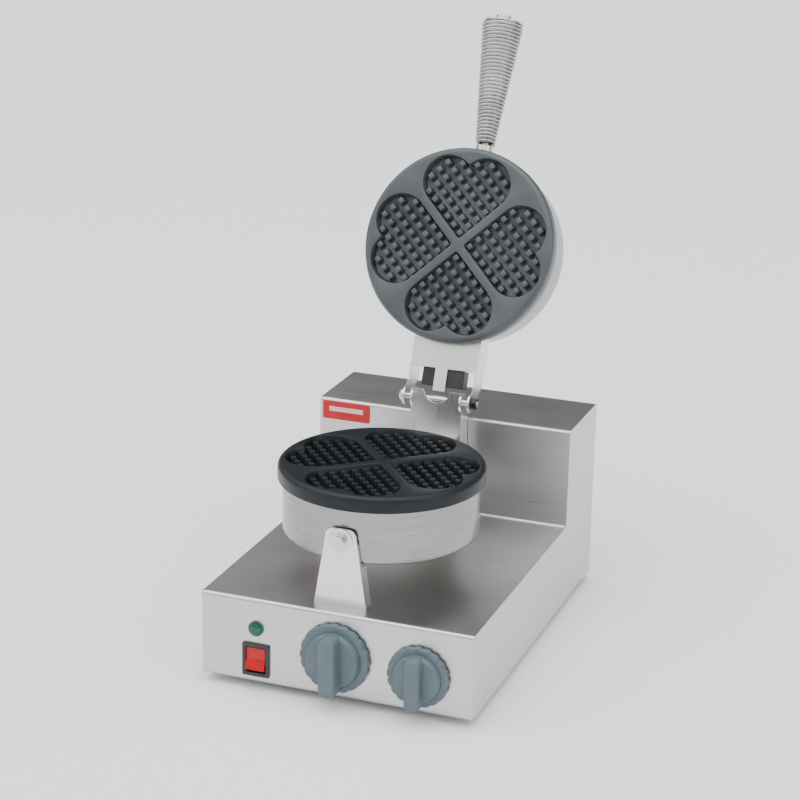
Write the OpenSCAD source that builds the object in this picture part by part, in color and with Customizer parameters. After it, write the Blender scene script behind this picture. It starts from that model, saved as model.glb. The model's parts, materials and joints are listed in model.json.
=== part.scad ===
/* [Base] */
// Width of the base across the front
body_w = 250; // [230:1:300]
// Depth of the base from front panel to rear cover
body_d = 356; // [340:1:430]
// Height of the low deck above the underside
base_h = 79; // [76:1:100]
// Height of the rear box above the underside
rear_h = 174; // [160:1:180]
// Depth of the rear box, front to back
rear_d = 89; // [70:1:92]
// Thickness of the folded sheet
sheet_t = 1.2; // [0.8:0.02:1.6]
// Inside radius of the sheet folds
fold_r = 2; // [1:0.5:4]
// Width of the turned-in edges of the sheet
flange_w = 12; // [8:1:16]
// Thickness of the bottom plate
bottom_t = 1; // [0.8:0.1:1.5]
// Gap between the bottom plate and the folds round it
bottom_gap = 4; // [2:0.5:6]

/* [Feet] */
// Height of the rubber feet
foot_h = 7; // [5:0.5:12]
// Diameter of the rubber feet
foot_d = 22; // [16:1:30]
// Distance of each foot's centre from the sides and the front and back
foot_inset = 38; // [30:1:60]

/* [Cooking plates] */
// Diameter of the cast plates
plate_d = 184; // [170:1:190]
// Height of the plate's rim
rim_h = 14; // [12:0.5:18]
// Height of the lower plate's face above the deck
face_rise = 102; // [96:1:120]
// Distance of the plate's centre from the front panel
plate_from_front = 107; // [106:1:115]
// Side of the square that each heart is drawn on
heart_side = 51; // [40:0.5:52]
// Distance of each heart's point from the plate's centre
heart_tip = 4.5; // [4:0.5:9]
// Depth of the hearts
heart_depth = 10; // [6:0.5:11]
// Distance between pegs inside the hearts
peg_pitch = 10.2; // [8:0.1:14]
// Width of each peg
peg_w = 5.4; // [3:0.1:6]
// Height of each peg
peg_h = 8; // [4:0.5:9]
// Gap between the two plates when the lid is shut
plate_gap = 0.4; // [0.2:0.1:2]
// Turn of the lower plate's hearts about its centre
lower_turn = -4.5; // [-8:0.5:8]
// Rounding of the plates' outer edges
edge_r = 4.5; // [1.5:0.5:5]

/* [Pans] */
// Diameter of the pans under the plates
pan_d = 175; // [164:1:178]
// Thickness of the pan's wall
pan_t = 1; // [0.8:0.1:2]
// Radius of the pan's bottom edge
pan_edge_r = 4; // [2:0.5:8]
// Depth of the lower pan below its plate's rim
lower_pan_h = 49; // [44:1:60]
// Depth of the upper pan above its plate's rim
upper_pan_h = 46; // [38:1:50]

/* [Hinge] */
// Distance from the plates' centre back to the hinge axis
hinge_reach = 144.5; // [140:0.5:150]
// Height of the hinge axis above the lower plate's face
hinge_rise = 12.5; // [10:0.5:16]
// Angle of the open lid from shut
open_angle = 112; // [95:1:115]
// Diameter of the hinge pin
pin_d = 6; // [5:0.1:8]
// Running clearance round the hinge pin, on the radius
pin_clear = 0.06; // [0.02:0.01:0.1]
// Thickness of the hinge and bracket plates
plate_t = 2; // [1.5:0.1:3]
// Width of the hinge post
post_w = 50; // [44:1:54]
// Gap between the post's sides and the lid bracket's cheeks
cheek_gap = 6; // [1:0.5:8]

/* [Front bracket] */
// Width of the front bracket at its foot
bracket_w = 48; // [40:1:60]
// Width of the front bracket at its top
bracket_top_w = 28; // [24:1:36]
// Height of the front bracket
bracket_h = 71; // [66:1:80]
// Distance of the front bracket from the front panel
bracket_from_front = 15.5; // [8:0.5:17]
// Sideways place of the front bracket
bracket_x = -2; // [-6:0.5:6]
// Height of the front bolt above the deck
bolt_rise = 61; // [55:1:62]
// Diameter of the front bolt
bolt_d = 6; // [5:0.5:8]

/* [Handle] */
// Height of the handle above the upper plate's face
handle_rise = 39; // [30:1:46]
// Diameter of the handle rod
rod_d = 8; // [6:0.5:10]
// Length of the wire grip
grip_l = 122; // [90:1:140]
// Diameter of the grip at the lid
grip_d0 = 19; // [16:0.5:24]
// Diameter of the grip at its free end
grip_d1 = 40; // [28:0.5:44]
// Diameter of the grip wire
wire_d = 3.6; // [2.5:0.1:5]

/* [Controls] */
// Diameter of the thermostat knob
thermostat_d = 64; // [50:1:66]
// Sideways place of the thermostat
thermostat_x = 1; // [-6:0.5:6]
// Height of the thermostat above the underside
thermostat_h = 38.5; // [36:0.5:42]
// Diameter of the timer knob
timer_d = 56; // [44:1:62]
// Sideways place of the timer
timer_x = 77; // [74:0.5:86]
// Height of the timer above the underside
timer_h = 35; // [33:0.5:42]
// Diameter of the control shafts
shaft_d = 6; // [5:0.1:7.5]
// Running clearance round a control shaft, on the radius
shaft_clear = 0.08; // [0.02:0.01:0.1]
// Sideways place of the switch and the lamp
switch_x = -73.5; // [-80:0.5:-66]
// Height of the switch above the underside
switch_h = 22.5; // [20:0.5:28]
// Width of the switch frame
switch_w = 25.5; // [22:0.5:28]
// Height of the switch frame
switch_l = 31; // [28:0.5:34]
// Tilt of the switch rocker either way
rocker_tilt = 9; // [6:0.5:10]
// Height of the pilot lamp above the underside
lamp_h = 52; // [48:0.5:60]
// Diameter of the pilot lamp's lens
lamp_d = 12; // [8:0.5:16]

/* [Hidden] */
$fn = 64;

// Middle of the base: the origin is on the floor under the middle of the whole part with its lid open.
base_y = -25;
front_y = base_y - body_d / 2;
back_y = base_y + body_d / 2;
deck_z = foot_h + base_h;
rear_z = foot_h + rear_h;
rear_y = back_y - rear_d;
shell_w = body_w - 2 * sheet_t;
fold_out = fold_r + sheet_t;
plate_r = plate_d / 2;
pan_r = pan_d / 2;
plate_y = front_y + plate_from_front;
face_z = deck_z + face_rise;
pan_top_z = face_z - rim_h;
pan_floor_z = pan_top_z - lower_pan_h + pan_t;
hinge_y = plate_y + hinge_reach;
hinge_z = face_z + hinge_rise;
axis_z = hinge_rise - plate_gap;
spigot_h = 8;
spigot_clear = 1.2;
spigot_r = pan_r - pan_t - spigot_clear;
heater_d = 8;
heater_ring_r = 58;
clamp_t = 1.5;
boss_r = 6;
boss_ring_r = 36;
boss_count = 3;
screw_d = 4;
screw_clear = 0.4;
head_d = 8;
head_h = 2.4;
panel_fit = 0.25;
bracket_y = front_y + bracket_from_front;
bolt_z = deck_z + bolt_rise;
pan_front_y = plate_y - pan_r;
pan_back_y = plate_y + pan_r;
post_y = hinge_y - pin_d / 2 - plate_t - 0.6;
post_depth = min(20, rear_y - post_y - 0.4);
post_top_z = hinge_z + 10;
notch_r = 13;
cheek_x = post_w / 2 + cheek_gap;
web_z = axis_z + 2.9;
cheek_h = 24;
rear_cover_y = back_y - sheet_t;
top_end_y = rear_cover_y - fold_out;

// ---- shared shapes ----

// Sheet bend: a quarter ring in the quadrant given by the signs sx and sy.
module bend_2d(x, y, sx, sy) {
    translate([x, y]) intersection() {
        difference() {
            circle(r = fold_out);
            circle(r = fold_r);
        }
        translate([sx > 0 ? 0 : -fold_out, sy > 0 ? 0 : -fold_out]) square(fold_out);
    }
}

// Extrudes a side-view outline, drawn as depth and height, across the width w centred on x.
module across(w, x = 0) {
    translate([x - w / 2, 0, 0]) rotate([90, 0, 90]) linear_extrude(w) children();
}

// Turns a part drawn along +Z so that it points to the back.
module to_back() { rotate([-90, 0, 0]) children(); }

// Turns a part drawn along +Z so that it points to the front.
module to_front() { rotate([90, 0, 0]) children(); }

// Pan-head screw with its head above z = 0 and its shank below.
module pan_screw(shank_l, d = screw_d) {
    difference() {
        union() {
            cylinder(d = 2 * d, h = 0.4 * d);
            translate([0, 0, 0.4 * d]) cylinder(d1 = 2 * d, d2 = 1.3 * d, h = 0.25 * d);
        }
        translate([-0.6 * d, -0.1 * d, 0.35 * d]) cube([1.2 * d, 0.2 * d, d]);
        translate([-0.1 * d, -0.6 * d, 0.35 * d]) cube([0.2 * d, 1.2 * d, d]);
    }
    translate([0, 0, -shank_l]) cylinder(d = d, h = shank_l);
}

module hex_nut(bore_d, h) {
    difference() {
        cylinder(d = 1.9 * bore_d, h = h, $fn = 6);
        translate([0, 0, -1]) cylinder(d = bore_d, h = h + 2);
    }
}

module rounded_rect(w, l, r) {
    square([w - 2 * r, l], center = true);
    square([w, l - 2 * r], center = true);
    for (sx = [-1, 1], sy = [-1, 1]) translate([sx * (w / 2 - r), sy * (l / 2 - r)]) circle(r = r);
}

// Half outline of a pan: open at y = 0, floor at y = -h.
module pan_block_2d(r, h, c) {
    translate([0, -h]) square([r - c, h]);
    translate([0, -h + c]) square([r, h - c]);
    translate([r - c, -h + c]) circle(r = c);
}

module pan_cup(h) {
    rotate_extrude($fn = 96) difference() {
        pan_block_2d(pan_r, h, pan_edge_r);
        pan_block_2d(pan_r - pan_t, h - pan_t, pan_edge_r - pan_t);
        translate([-1, -0.001]) square([pan_r + 2, 1]);
    }
}

// One heart, its point towards the centre and its lobes out along +X.
module heart_2d() {
    translate([heart_tip, 0]) rotate(-45) {
        square(heart_side);
        translate([heart_side, heart_side / 2]) circle(d = heart_side);
        translate([heart_side / 2, heart_side]) circle(d = heart_side);
    }
}

// True where a peg at (u, v) from the heart's point stands clear inside the heart.
function peg_inside(u, v) = let (s = heart_side, edge = s - peg_w / 2 - 0.8, reach = s / 2 - 0.62 * peg_w - 0.8)
    (u < edge && v < edge)
    || norm([u - s, v - s / 2]) < reach
    || norm([u - s / 2, v - s]) < reach;

module heart_pegs_2d() {
    count = ceil(1.5 * heart_side / peg_pitch);
    translate([heart_tip, 0]) rotate(-45) for (i = [0:count - 1], j = [0:count - 1]) {
        u = (i + 0.5) * peg_pitch;
        v = (j + 0.5) * peg_pitch;
        if (peg_inside(u, v)) translate([u, v]) square(peg_w, center = true);
    }
}

// Cast plate, face at z = 0, with hearts sunk into it and its spigot and bosses below.
module heart_plate(boss_l, turn = 0) {
    difference() {
        union() {
            rotate_extrude($fn = 128) {
                translate([0, -rim_h]) square([plate_r, rim_h - edge_r]);
                square_w = plate_r - edge_r;
                translate([0, -edge_r]) square([square_w, edge_r]);
                translate([square_w, -edge_r]) intersection() {
                    circle(r = edge_r);
                    square(edge_r);
                }
                translate([0, -rim_h - spigot_h]) square([spigot_r, spigot_h]);
            }
            at_bosses() translate([0, 0, -boss_l]) cylinder(r = boss_r, h = boss_l - rim_h);
        }
        translate([0, 0, -heart_depth]) linear_extrude(heart_depth + 1)
            for (q = [0:3]) rotate(90 * q + turn) heart_2d();
        at_bosses() translate([0, 0, -boss_l - 1]) cylinder(d = screw_d, h = 14);
    }
    translate([0, 0, -heart_depth]) linear_extrude(peg_h)
        for (q = [0:3]) rotate(90 * q + turn) heart_pegs_2d();
}

module at_bosses() {
    for (i = [0:boss_count - 1]) rotate(30 + 360 / boss_count * i) translate([boss_ring_r, 0, 0]) children();
}

// Heating ring pressed under the casting, drawn for a plate with its face at z = 0.
heater_z = -rim_h - spigot_h - heater_d / 2;
clamp_z = heater_z - heater_d / 2 - clamp_t;

module heater_ring() {
    translate([0, 0, heater_z]) rotate_extrude($fn = 96)
        translate([heater_ring_r, 0]) circle(d = heater_d, $fn = 32);
    for (sx = [-1, 1]) translate([sx * 9, heater_ring_r, clamp_z - 12]) cylinder(d = heater_d - 2, h = 12 + clamp_t);
}

module clamp_disc() {
    difference() {
        translate([0, 0, clamp_z]) cylinder(r = heater_ring_r + 8, h = clamp_t, $fn = 96);
        at_bosses() translate([0, 0, clamp_z - 1]) cylinder(r = boss_r + 0.5, h = clamp_t + 2);
        for (sx = [-1, 1]) translate([sx * 9, heater_ring_r, clamp_z - 1]) cylinder(d = heater_d, h = clamp_t + 2);
    }
}

insulation_t = 10;

// Insulating disc lying on the floor of a pan of depth h, for a plate with its face at z = 0.
module insulation_disc(h) {
    floor_z = -rim_h - h + pan_t;
    difference() {
        translate([0, 0, floor_z]) cylinder(r = pan_r - pan_t - pan_edge_r, h = insulation_t, $fn = 96);
        at_bosses() translate([0, 0, floor_z - 1]) cylinder(r = boss_r + 0.5, h = insulation_t + 2);
    }
}

// Screws through the pan's floor into the bosses, for a plate with its face at z = 0.
module boss_screws(h) {
    at_bosses() translate([0, 0, -rim_h - h]) mirror([0, 0, 1]) pan_screw(12);
}

module pan_screw_holes(h) {
    at_bosses() translate([0, 0, -h - 1]) cylinder(d = screw_d + screw_clear, h = pan_t + 2);
}

module at_lower() { translate([0, plate_y, face_z]) children(); }

// Places lid parts, drawn shut with the upper plate's face at z = 0 and the pan above it.
module at_lid() {
    translate([0, hinge_y, hinge_z]) rotate([-open_angle, 0, 0])
        translate([0, -hinge_reach, -axis_z]) children();
}

// ---- base ----

module shell_profile() {
    flange_y = front_y + flange_w + fold_out;
    low_z = foot_h + bottom_t;
    translate([front_y + fold_out, low_z]) square([flange_w, sheet_t]);
    bend_2d(front_y + fold_out, low_z + fold_out, -1, -1);
    translate([front_y, low_z + fold_out]) square([sheet_t, deck_z - low_z - 2 * fold_out]);
    bend_2d(front_y + fold_out, deck_z - fold_out, -1, 1);
    translate([front_y + fold_out, deck_z - sheet_t])
        square([rear_y - fold_r - front_y - fold_out, sheet_t]);
    bend_2d(rear_y - fold_r, deck_z + fold_r, 1, -1);
    translate([rear_y, deck_z + fold_r]) square([sheet_t, rear_z - deck_z - fold_r - fold_out]);
    bend_2d(rear_y + fold_out, rear_z - fold_out, -1, 1);
    translate([rear_y + fold_out, rear_z - sheet_t]) square([top_end_y - rear_y - fold_out, sheet_t]);
    bend_2d(top_end_y, rear_z - fold_out, 1, 1);
    translate([top_end_y + fold_r, rear_z - fold_out - flange_w]) square([sheet_t, flange_w]);
}

module panel_hole(x, h, d) {
    translate([x, front_y - 1, foot_h + h]) to_back() cylinder(d = d, h = sheet_t + 2);
}

bush_d = 10;
lamp_body_d = 9;

module housing_shell() {
    color("lightgray") difference() {
        across(shell_w) shell_profile();
        panel_hole(thermostat_x, thermostat_h, bush_d + 0.5);
        panel_hole(timer_x, timer_h, bush_d + 0.5);
        panel_hole(switch_x, lamp_h, lamp_body_d + 0.5);
        translate([switch_x, front_y + sheet_t / 2, foot_h + switch_h])
            cube([switch_w - 3, 3 * sheet_t, switch_l - 3], center = true);
        at_bracket_screws() translate([0, 0, -sheet_t - 1]) cylinder(d = screw_d + screw_clear, h = sheet_t + 2);
        at_post_screws() translate([0, 0, -sheet_t - 1]) cylinder(d = screw_d + screw_clear, h = sheet_t + 2);
        at_top_cover_screws() translate([0, -5, 0]) to_back() cylinder(d = cover_screw_d, h = 10);
    }
}

module side_outline() {
    low_z = foot_h + bottom_t;
    r = 2;
    difference() {
        union() {
            translate([front_y, low_z]) square([body_d - sheet_t, deck_z - low_z]);
            translate([rear_y, low_z]) square([rear_d - sheet_t, rear_z - low_z]);
        }
        round_off(front_y, deck_z, 1, -1, r);
        round_off(front_y, low_z, 1, 1, r);
        round_off(rear_y, rear_z, 1, -1, r);
        round_off(back_y - sheet_t, rear_z, -1, -1, r);
    }
}

// Waste to take from a corner at (x, y) whose sheet lies towards (sx, sy).
module round_off(x, y, sx, sy, r) {
    translate([x, y]) difference() {
        translate([sx > 0 ? -1 : -r, sy > 0 ? -1 : -r]) square(r + 1);
        translate([sx * r, sy * r]) circle(r = r);
    }
}

module side_panel(side) {
    inner_x = body_w / 2 - sheet_t;
    low_z = foot_h + bottom_t;
    across(sheet_t, side * (body_w / 2 - sheet_t / 2)) side_outline();
    translate([side > 0 ? inner_x - flange_w : -inner_x, front_y + 25, low_z])
        cube([flange_w, body_d - 50, sheet_t]);
    translate([side > 0 ? inner_x - flange_w : -inner_x, rear_cover_y - sheet_t, foot_h + 30])
        cube([flange_w, sheet_t, rear_h - 60]);
}

module side_panel_left() {
    color("silver") difference() {
        side_panel(-1);
        at_side_cover_screws() translate([0, -5, 0]) to_back() cylinder(d = cover_screw_d, h = 10);
        at_bottom_screws() translate([0, 0, -1]) cylinder(d = cover_screw_d, h = 10);
    }
}

module side_panel_right() {
    color("silver") difference() {
        side_panel(1);
        at_side_cover_screws() translate([0, -5, 0]) to_back() cylinder(d = cover_screw_d, h = 10);
        at_bottom_screws() translate([0, 0, -1]) cylinder(d = cover_screw_d, h = 10);
    }
}

cover_screw_d = 3.5;
vent_count = 9;
vent_pitch = 8;
vent_w = 3;
vent_l = 56;
gland_d = 16;
gland_x = -88;
gland_h = 32;

// Screw places, each on the outer face of the sheet that the screw head rests on.
module at_top_cover_screws() {
    for (sx = [-1, 1]) translate([sx * body_w / 4, back_y, rear_z - fold_out - flange_w / 2]) children();
}

module at_side_cover_screws() {
    for (sx = [-1, 1], h = [50, 120]) translate([sx * (body_w / 2 - sheet_t - flange_w / 2), back_y, foot_h + h])
        children();
}

module at_bottom_screws() {
    for (sx = [-1, 1], sy = [-1, 0, 1])
        translate([sx * (body_w / 2 - sheet_t - flange_w / 2 - bottom_gap / 2), base_y + sy * body_d * 0.34, foot_h])
            children();
}

module rear_cover() {
    color("gainsboro") translate([0, rear_cover_y, 0]) difference() {
        translate([-body_w / 2, 0, foot_h + bottom_t])
            cube([body_w, sheet_t, rear_h - bottom_t - 1]);
        for (i = [0:vent_count - 1], sx = [-1, 1])
            translate([sx * body_w / 6, sheet_t / 2, foot_h + 74 + i * vent_pitch])
                rotate([90, 0, 0]) linear_extrude(3 * sheet_t, center = true) rounded_rect(vent_l, vent_w, 1.4);
        translate([gland_x, -1, foot_h + gland_h]) to_back() cylinder(d = gland_d + 0.5, h = sheet_t + 2);
        translate([0, -rear_cover_y, 0]) {
            at_top_cover_screws() translate([0, -5, 0]) to_back() cylinder(d = cover_screw_d, h = 10);
            at_side_cover_screws() translate([0, -5, 0]) to_back() cylinder(d = cover_screw_d, h = 10);
        }
    }
}

module rear_cover_screws() {
    color("gray") {
        at_top_cover_screws() to_back() pan_screw(8, cover_screw_d);
        at_side_cover_screws() to_back() pan_screw(8, cover_screw_d);
    }
}

module at_feet() {
    for (sx = [-1, 1], sy = [-1, 1])
        translate([sx * (body_w / 2 - foot_inset), base_y + sy * (body_d / 2 - foot_inset), 0]) children();
}

module bottom_plate() {
    w = body_w - 2 * bottom_gap;
    l = body_d - 2 * bottom_gap;
    color("darkgray") difference() {
        translate([0, base_y, foot_h]) linear_extrude(bottom_t) rounded_rect(w, l, 4);
        at_feet() translate([0, 0, foot_h - 1]) cylinder(d = screw_d + screw_clear, h = bottom_t + 2);
        at_bottom_screws() translate([0, 0, -1]) cylinder(d = cover_screw_d, h = bottom_t + 2);
        for (i = [-6:6], sy = [-1, 1]) translate([i * 10, base_y + sy * 52, foot_h + bottom_t / 2])
            linear_extrude(3 * bottom_t, center = true) rounded_rect(4, 60, 1.9);
    }
}

module bottom_screws() {
    color("gray") at_bottom_screws() mirror([0, 0, 1]) pan_screw(7, cover_screw_d);
}

foot_recess = 4.4;

module rubber_feet() {
    color("black") at_feet() difference() {
        cylinder(d1 = foot_d - 3, d2 = foot_d, h = foot_h);
        translate([0, 0, -1]) cylinder(d = head_d + 2, h = foot_recess + 1);
        cylinder(d = screw_d + 0.2, h = foot_h + 1);
    }
}

module foot_screws() {
    color("gray") at_feet() translate([0, 0, foot_recess]) mirror([0, 0, 1])
        pan_screw(foot_h - foot_recess + bottom_t + 6);
}

module foot_nuts() {
    color("gray") at_feet() translate([0, 0, foot_h + bottom_t]) hex_nut(screw_d, 3.2);
}

label_w = 48;
label_h = 18;
label_t = 0.8;
label_drop = 2.2;

module label_plate() {
    color("crimson") translate([-body_w / 2 + 3 + label_w / 2, rear_y, rear_z - label_drop - label_h / 2])
        to_front() linear_extrude(label_t) rounded_rect(label_w, label_h, 1.6);
}

module cable_gland() {
    color("dimgray") translate([gland_x, back_y, foot_h + gland_h]) to_back() difference() {
        union() {
            cylinder(d = gland_d + 8, h = 4);
            translate([0, 0, 4]) cylinder(d1 = gland_d + 4, d2 = gland_d, h = 9);
            translate([0, 0, -14]) cylinder(d = gland_d, h = 14);
        }
        translate([0, 0, -15]) cylinder(d = 8.4, h = 30);
    }
}

module gland_nut() {
    color("dimgray") translate([gland_x, rear_cover_y, foot_h + gland_h]) to_front() difference() {
        cylinder(d = gland_d + 8, h = 4, $fn = 6);
        translate([0, 0, -1]) cylinder(d = gland_d, h = 6);
    }
}

module terminal_block() {
    color("ivory") translate([-40, rear_y + 40, foot_h + bottom_t]) {
        difference() {
            translate([-32, -11, 0]) cube([64, 22, 18]);
            for (i = [-2:2], sy = [-1, 1]) translate([i * 11, sy * 6, 8]) cylinder(d = 5, h = 12);
        }
    }
}

// ---- front bracket ----

bracket_foot = 18;
bracket_side = 13;
bracket_lip = min(bracket_side, plate_from_front - pan_r - bracket_from_front);

module at_bracket_screws() {
    for (sx = [-1, 1]) translate([bracket_x + sx * 13, bracket_y + plate_t + bracket_foot * 0.6, deck_z]) children();
}

function bracket_half_w(z) = bracket_w / 2 - (bracket_w - bracket_top_w) / 2 * z / (bracket_h - bracket_top_w / 4);

module bracket_face_2d() {
    r = bracket_top_w / 4;
    top = bracket_h - r;
    w = bracket_top_w / 2;
    polygon([[-bracket_w / 2, 0], [bracket_w / 2, 0], [w, top], [-w, top]]);
    translate([-w + r, top]) square([2 * w - 2 * r, r]);
    for (sx = [-1, 1]) translate([sx * (w - r), top]) circle(r = r);
}

// Folded bracket: a tapering face, two sides set along its edges, and a foot under the pan.
module front_bracket() {
    low = pan_top_z - lower_pan_h - deck_z - 3;
    lean = atan((bracket_w - bracket_top_w) / 2 / (bracket_h - bracket_top_w / 4));
    color("silver") translate([bracket_x, bracket_y, deck_z]) difference() {
        union() {
            translate([0, plate_t, 0]) to_front() linear_extrude(plate_t) bracket_face_2d();
            translate([-bracket_w / 2 + 3, 0, 0]) cube([bracket_w - 6, bracket_foot, plate_t]);
            for (sx = [-1, 1]) translate([sx * bracket_w / 2, 0, 0]) rotate([0, -sx * lean, 0]) {
                translate([sx > 0 ? -plate_t : 0, 0, plate_t / 2]) cube([plate_t, bracket_side, low]);
                translate([sx > 0 ? -plate_t : 0, 0, plate_t / 2]) cube([plate_t, bracket_lip, bracket_h - 14]);
            }
        }
        translate([0, -1, bolt_rise]) to_back() cylinder(d = bolt_d + screw_clear, h = plate_t + 2);
        translate([-bracket_x, -bracket_y, -deck_z]) at_bracket_screws()
            translate([0, 0, -1]) cylinder(d = screw_d + screw_clear, h = plate_t + 2);
        translate([-bracket_w, -1, -10]) cube([2 * bracket_w, bracket_foot + 2, 10]);
    }
}

module front_bracket_screws() {
    color("gray") at_bracket_screws() translate([0, 0, plate_t]) pan_screw(plate_t + sheet_t + 5);
}

washer_t = 1.6;
washer_d = 22;
saddle_clear = 0.1;

module front_washer() {
    color("silver") translate([bracket_x, bracket_y, bolt_z]) to_front() difference() {
        cylinder(d = washer_d, h = washer_t);
        translate([0, 0, -1]) cylinder(d = bolt_d + screw_clear, h = washer_t + 2);
    }
}

module front_bolt() {
    shank = washer_t + bracket_from_front + 12;
    color("lightgray") translate([bracket_x, bracket_y - washer_t, bolt_z]) to_front() {
        cylinder(d = 13, h = 1.2);
        translate([0, 0, 1.2]) cylinder(d = 11.5, h = 3.6, $fn = 6);
        translate([0, 0, -shank]) cylinder(d = bolt_d, h = shank);
    }
}

// Ring between the bracket and the curved pan wall.
module front_spacer() {
    color("darkgray") difference() {
        translate([bracket_x, bracket_y + plate_t, bolt_z]) to_back() difference() {
            cylinder(d = 16, h = pan_front_y - bracket_y - plate_t + 1);
            translate([0, 0, -1]) cylinder(d = bolt_d + screw_clear, h = 20);
        }
        translate([0, plate_y, pan_top_z - lower_pan_h - 1])
            cylinder(r = pan_r + saddle_clear, h = lower_pan_h + 2, $fn = 96);
    }
}

module front_nut() {
    color("gray") translate([bracket_x, pan_front_y + pan_t + 0.5, bolt_z]) to_back() hex_nut(bolt_d, 5);
}

// ---- lower pan ----

module lower_pan() {
    color("silver") difference() {
        translate([0, plate_y, pan_top_z]) difference() {
            pan_cup(lower_pan_h);
            pan_screw_holes(lower_pan_h);
        }
        translate([bracket_x, pan_front_y - 1, bolt_z]) to_back() cylinder(d = bolt_d + screw_clear, h = 6);
        at_strap_screws() translate([0, 2, 0]) to_front() cylinder(d = screw_d + screw_clear, h = 10);
        translate([0, plate_y + 20, pan_floor_z - 3]) cylinder(d = 14, h = 6);
    }
}

lower_boss_l = rim_h + lower_pan_h - pan_t;
upper_boss_l = rim_h + upper_pan_h - pan_t;

module lower_plate() { color("dimgray") at_lower() heart_plate(lower_boss_l, lower_turn); }
module lower_heater() { color("sienna") at_lower() heater_ring(); }
module lower_clamp() { color("darkgray") at_lower() clamp_disc(); }
module lower_insulation() {
    color("ivory") at_lower() difference() {
        insulation_disc(lower_pan_h);
        translate([0, 20, -rim_h - lower_pan_h - 1]) cylinder(d = 14, h = 20);
    }
}
module lower_plate_screws() { color("gray") at_lower() boss_screws(lower_pan_h); }

module thermostat_bulb() {
    color("peru") at_lower() translate([-30, -26, clamp_z - 3.2]) rotate([0, 90, 0]) cylinder(d = 6, h = 60);
}

// ---- hinge ----

strap_t = 2;
strap_z = pan_top_z - 6;

// Screw places on the front of the strap's down-turned end, against the pan's back.
module at_strap_screws() {
    for (sx = [-1, 1]) translate([sx * 11, pan_back_y + 3, strap_z - 9]) children();
}

// Post screws, on the deck in front of and beside the post's web.
module at_post_screws() {
    for (sx = [-1, 1]) translate([sx * 15, post_y - 9, deck_z]) children();
}

module hinge_post() {
    color("silver") difference() {
        union() {
            translate([-post_w / 2, post_y, deck_z]) cube([post_w, plate_t, post_top_z - deck_z]);
            for (sx = [-1, 1]) translate([sx > 0 ? post_w / 2 - plate_t : -post_w / 2, post_y, deck_z])
                cube([plate_t, post_depth, hinge_z - deck_z]);
            for (sx = [-1, 1]) translate([sx * (post_w / 2 - plate_t / 2), hinge_y, hinge_z])
                rotate([0, 90, 0]) cylinder(r = 9, h = plate_t, center = true);
            translate([-post_w / 2, post_y - 18, deck_z]) cube([post_w, 18 + plate_t, plate_t]);
        }
        translate([0, post_y - 1, hinge_z + notch_r - 2]) to_back() cylinder(r = notch_r, h = plate_t + 2);
        translate([-notch_r, post_y - 1, hinge_z + notch_r - 2]) cube([2 * notch_r, plate_t + 2, 40]);
        translate([0, hinge_y, hinge_z]) rotate([0, 90, 0])
            cylinder(r = pin_d / 2 + pin_clear, h = 2 * post_w, center = true);
        at_post_screws() translate([0, 0, -1]) cylinder(d = screw_d + screw_clear, h = plate_t + 2);
    }
}

module hinge_post_screws() {
    color("gray") at_post_screws() translate([0, 0, plate_t]) pan_screw(plate_t + sheet_t + 5);
}

// Strap from the lower pan's back to the post's web.
module pan_strap() {
    w = post_w - 8;
    color("lightgray") difference() {
        union() {
            translate([-w / 2, pan_back_y + 1, strap_z - strap_t]) cube([w, post_y - pan_back_y - 1, strap_t]);
            translate([-w / 2, pan_back_y + 1, strap_z - 18]) cube([w, strap_t, 18]);
            translate([-w / 2, post_y - strap_t, strap_z - 18]) cube([w, strap_t, 18]);
            for (sx = [-1, 1]) translate([sx * 11, pan_back_y + 1.5, strap_z - 9]) to_front() cylinder(d = 9, h = 5);
        }
        translate([0, plate_y, pan_top_z - lower_pan_h]) cylinder(r = pan_r, h = lower_pan_h, $fn = 96);
        at_strap_screws() translate([0, 4, 0]) to_front() cylinder(d = screw_d + screw_clear, h = 20);
    }
}

module pan_strap_screws() {
    color("gray") at_strap_screws() to_back() pan_screw(10);
}

pin_half = cheek_x + plate_t;

module hinge_pin() {
    color("gainsboro") translate([0, hinge_y, hinge_z]) rotate([0, 90, 0]) {
        translate([0, 0, -pin_half - 0.4]) cylinder(d = pin_d, h = 2 * pin_half + 7);
        translate([0, 0, -pin_half - 4.4]) cylinder(d1 = pin_d + 3, d2 = pin_d + 6, h = 2);
        translate([0, 0, -pin_half - 2.4]) cylinder(d = pin_d + 6, h = 2);
    }
}

module hinge_pin_nut() {
    color("dimgray") translate([pin_half + 0.4, hinge_y, hinge_z]) rotate([0, 90, 0]) hex_nut(pin_d, 5);
}

// Lid bracket, drawn shut: a web level with the pan's rim, two cheeks and a stop tongue.
module lid_bracket() {
    near = pan_r - 8;
    web_end = hinge_reach - 29;
    tongue_end = hinge_reach - 7.5;
    color("silver") at_lid() difference() {
        union() {
            translate([-cheek_x - plate_t, near, web_z]) cube([2 * cheek_x + 2 * plate_t, web_end - near, plate_t]);
            translate([-8, web_end - 1, web_z]) cube([12, tongue_end - web_end + 1, plate_t]);
            for (sx = [-1, 1]) across(plate_t, sx * (cheek_x + plate_t / 2)) cheek_2d(near);
        }
        translate([0, 0, -1]) cylinder(r = pan_r, h = 80, $fn = 96);
        translate([0, hinge_reach, axis_z]) rotate([0, 90, 0])
            cylinder(r = pin_d / 2 + pin_clear, h = 4 * post_w, center = true);
    }
}

module cheek_2d(near) {
    r = 9;
    polygon([[near, web_z], [hinge_reach - 16, web_z], [hinge_reach - 2, axis_z - r + 0.3],
        [hinge_reach + 6, axis_z + 6.7], [hinge_reach - 20, web_z + cheek_h], [near, web_z + cheek_h]]);
    translate([hinge_reach, axis_z]) circle(r = r);
}

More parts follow.
